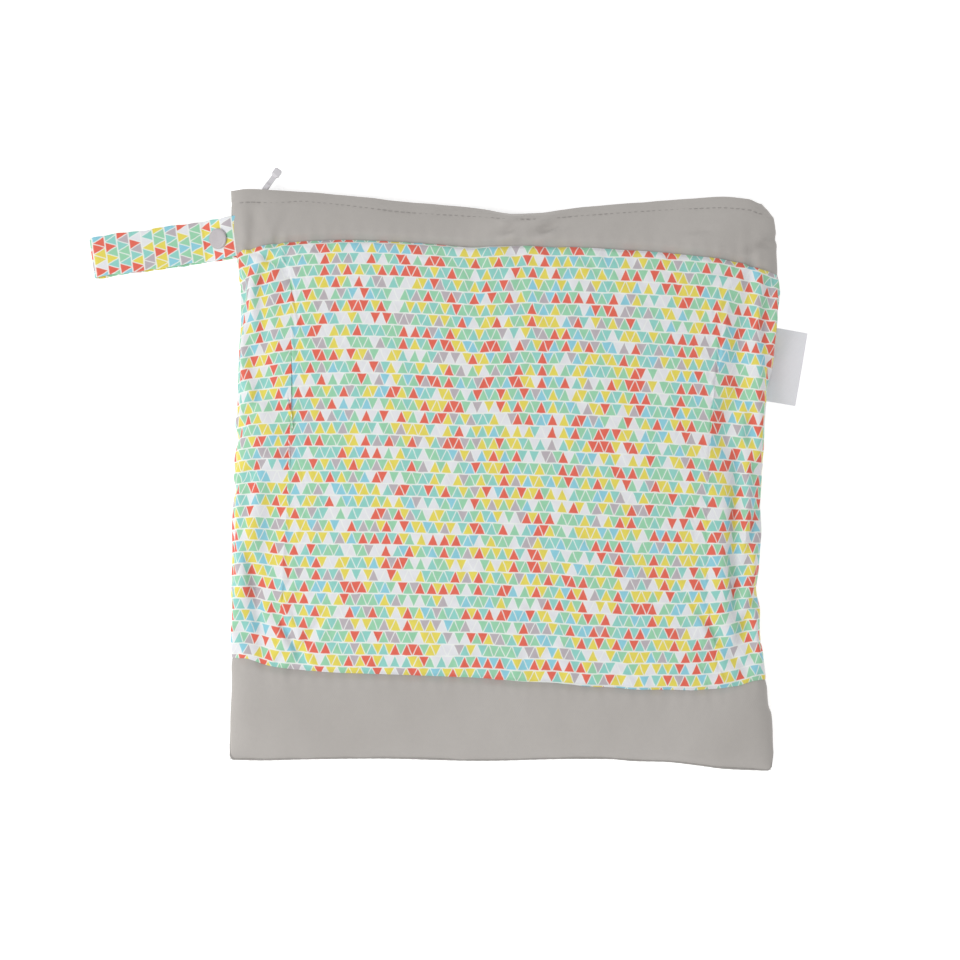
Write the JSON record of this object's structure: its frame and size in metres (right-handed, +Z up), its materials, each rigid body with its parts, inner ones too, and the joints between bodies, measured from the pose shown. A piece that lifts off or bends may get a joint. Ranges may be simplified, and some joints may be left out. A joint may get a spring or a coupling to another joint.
{
  "type": "cloth diaper wet bag",
  "caption": "Medium cloth wet bag for diapers lying on its back, with a printed front, a zip along the top, a snapped carry strap and a blank side label.",
  "frame": {"origin": "middle of the bag on the flat underside of the back panel", "axes": "+X across the bag away from the strap, +Y towards the zip, +Z up out of the printed front"},
  "size_m": [0.428, 0.3627, 0.03],
  "materials": {
    "grey_fabric": "plain knitted face over a waterproof backing",
    "print_fabric": "printed with rows of small triangles",
    "zip_tape": "woven zip tape",
    "zip_coil": "nylon coil",
    "zip_metal": "pale enamel",
    "snap_plastic": "moulded resin snap",
    "label_ribbon": "woven ribbon, blank"
  },
  "bodies": {
    "bag": {"front_top_band": "grey_fabric", "print_panel": "print_fabric", "front_bottom_band": "grey_fabric", "back_panel": "grey_fabric", "zip_tape_front": "zip_tape", "zip_tape_back": "zip_tape", "zip_coil": "zip_coil", "zip_slider": "zip_metal", "strap": "print_fabric", "snap_cap": "snap_plastic", "snap_socket": "snap_plastic", "snap_stud": "snap_plastic", "snap_back": "snap_plastic", "side_label": "label_ribbon"},
    "pull": {"zip_pull": "zip_metal"}
  },
  "joints": [
    {"name": "pull_swing", "type": "hinge", "parent": "bag", "child": "pull", "pos_m": [-0.14577, 0.16932, 0.00812], "axis": [0, 0, 1], "range_deg": [-30, 90]}
  ]
}
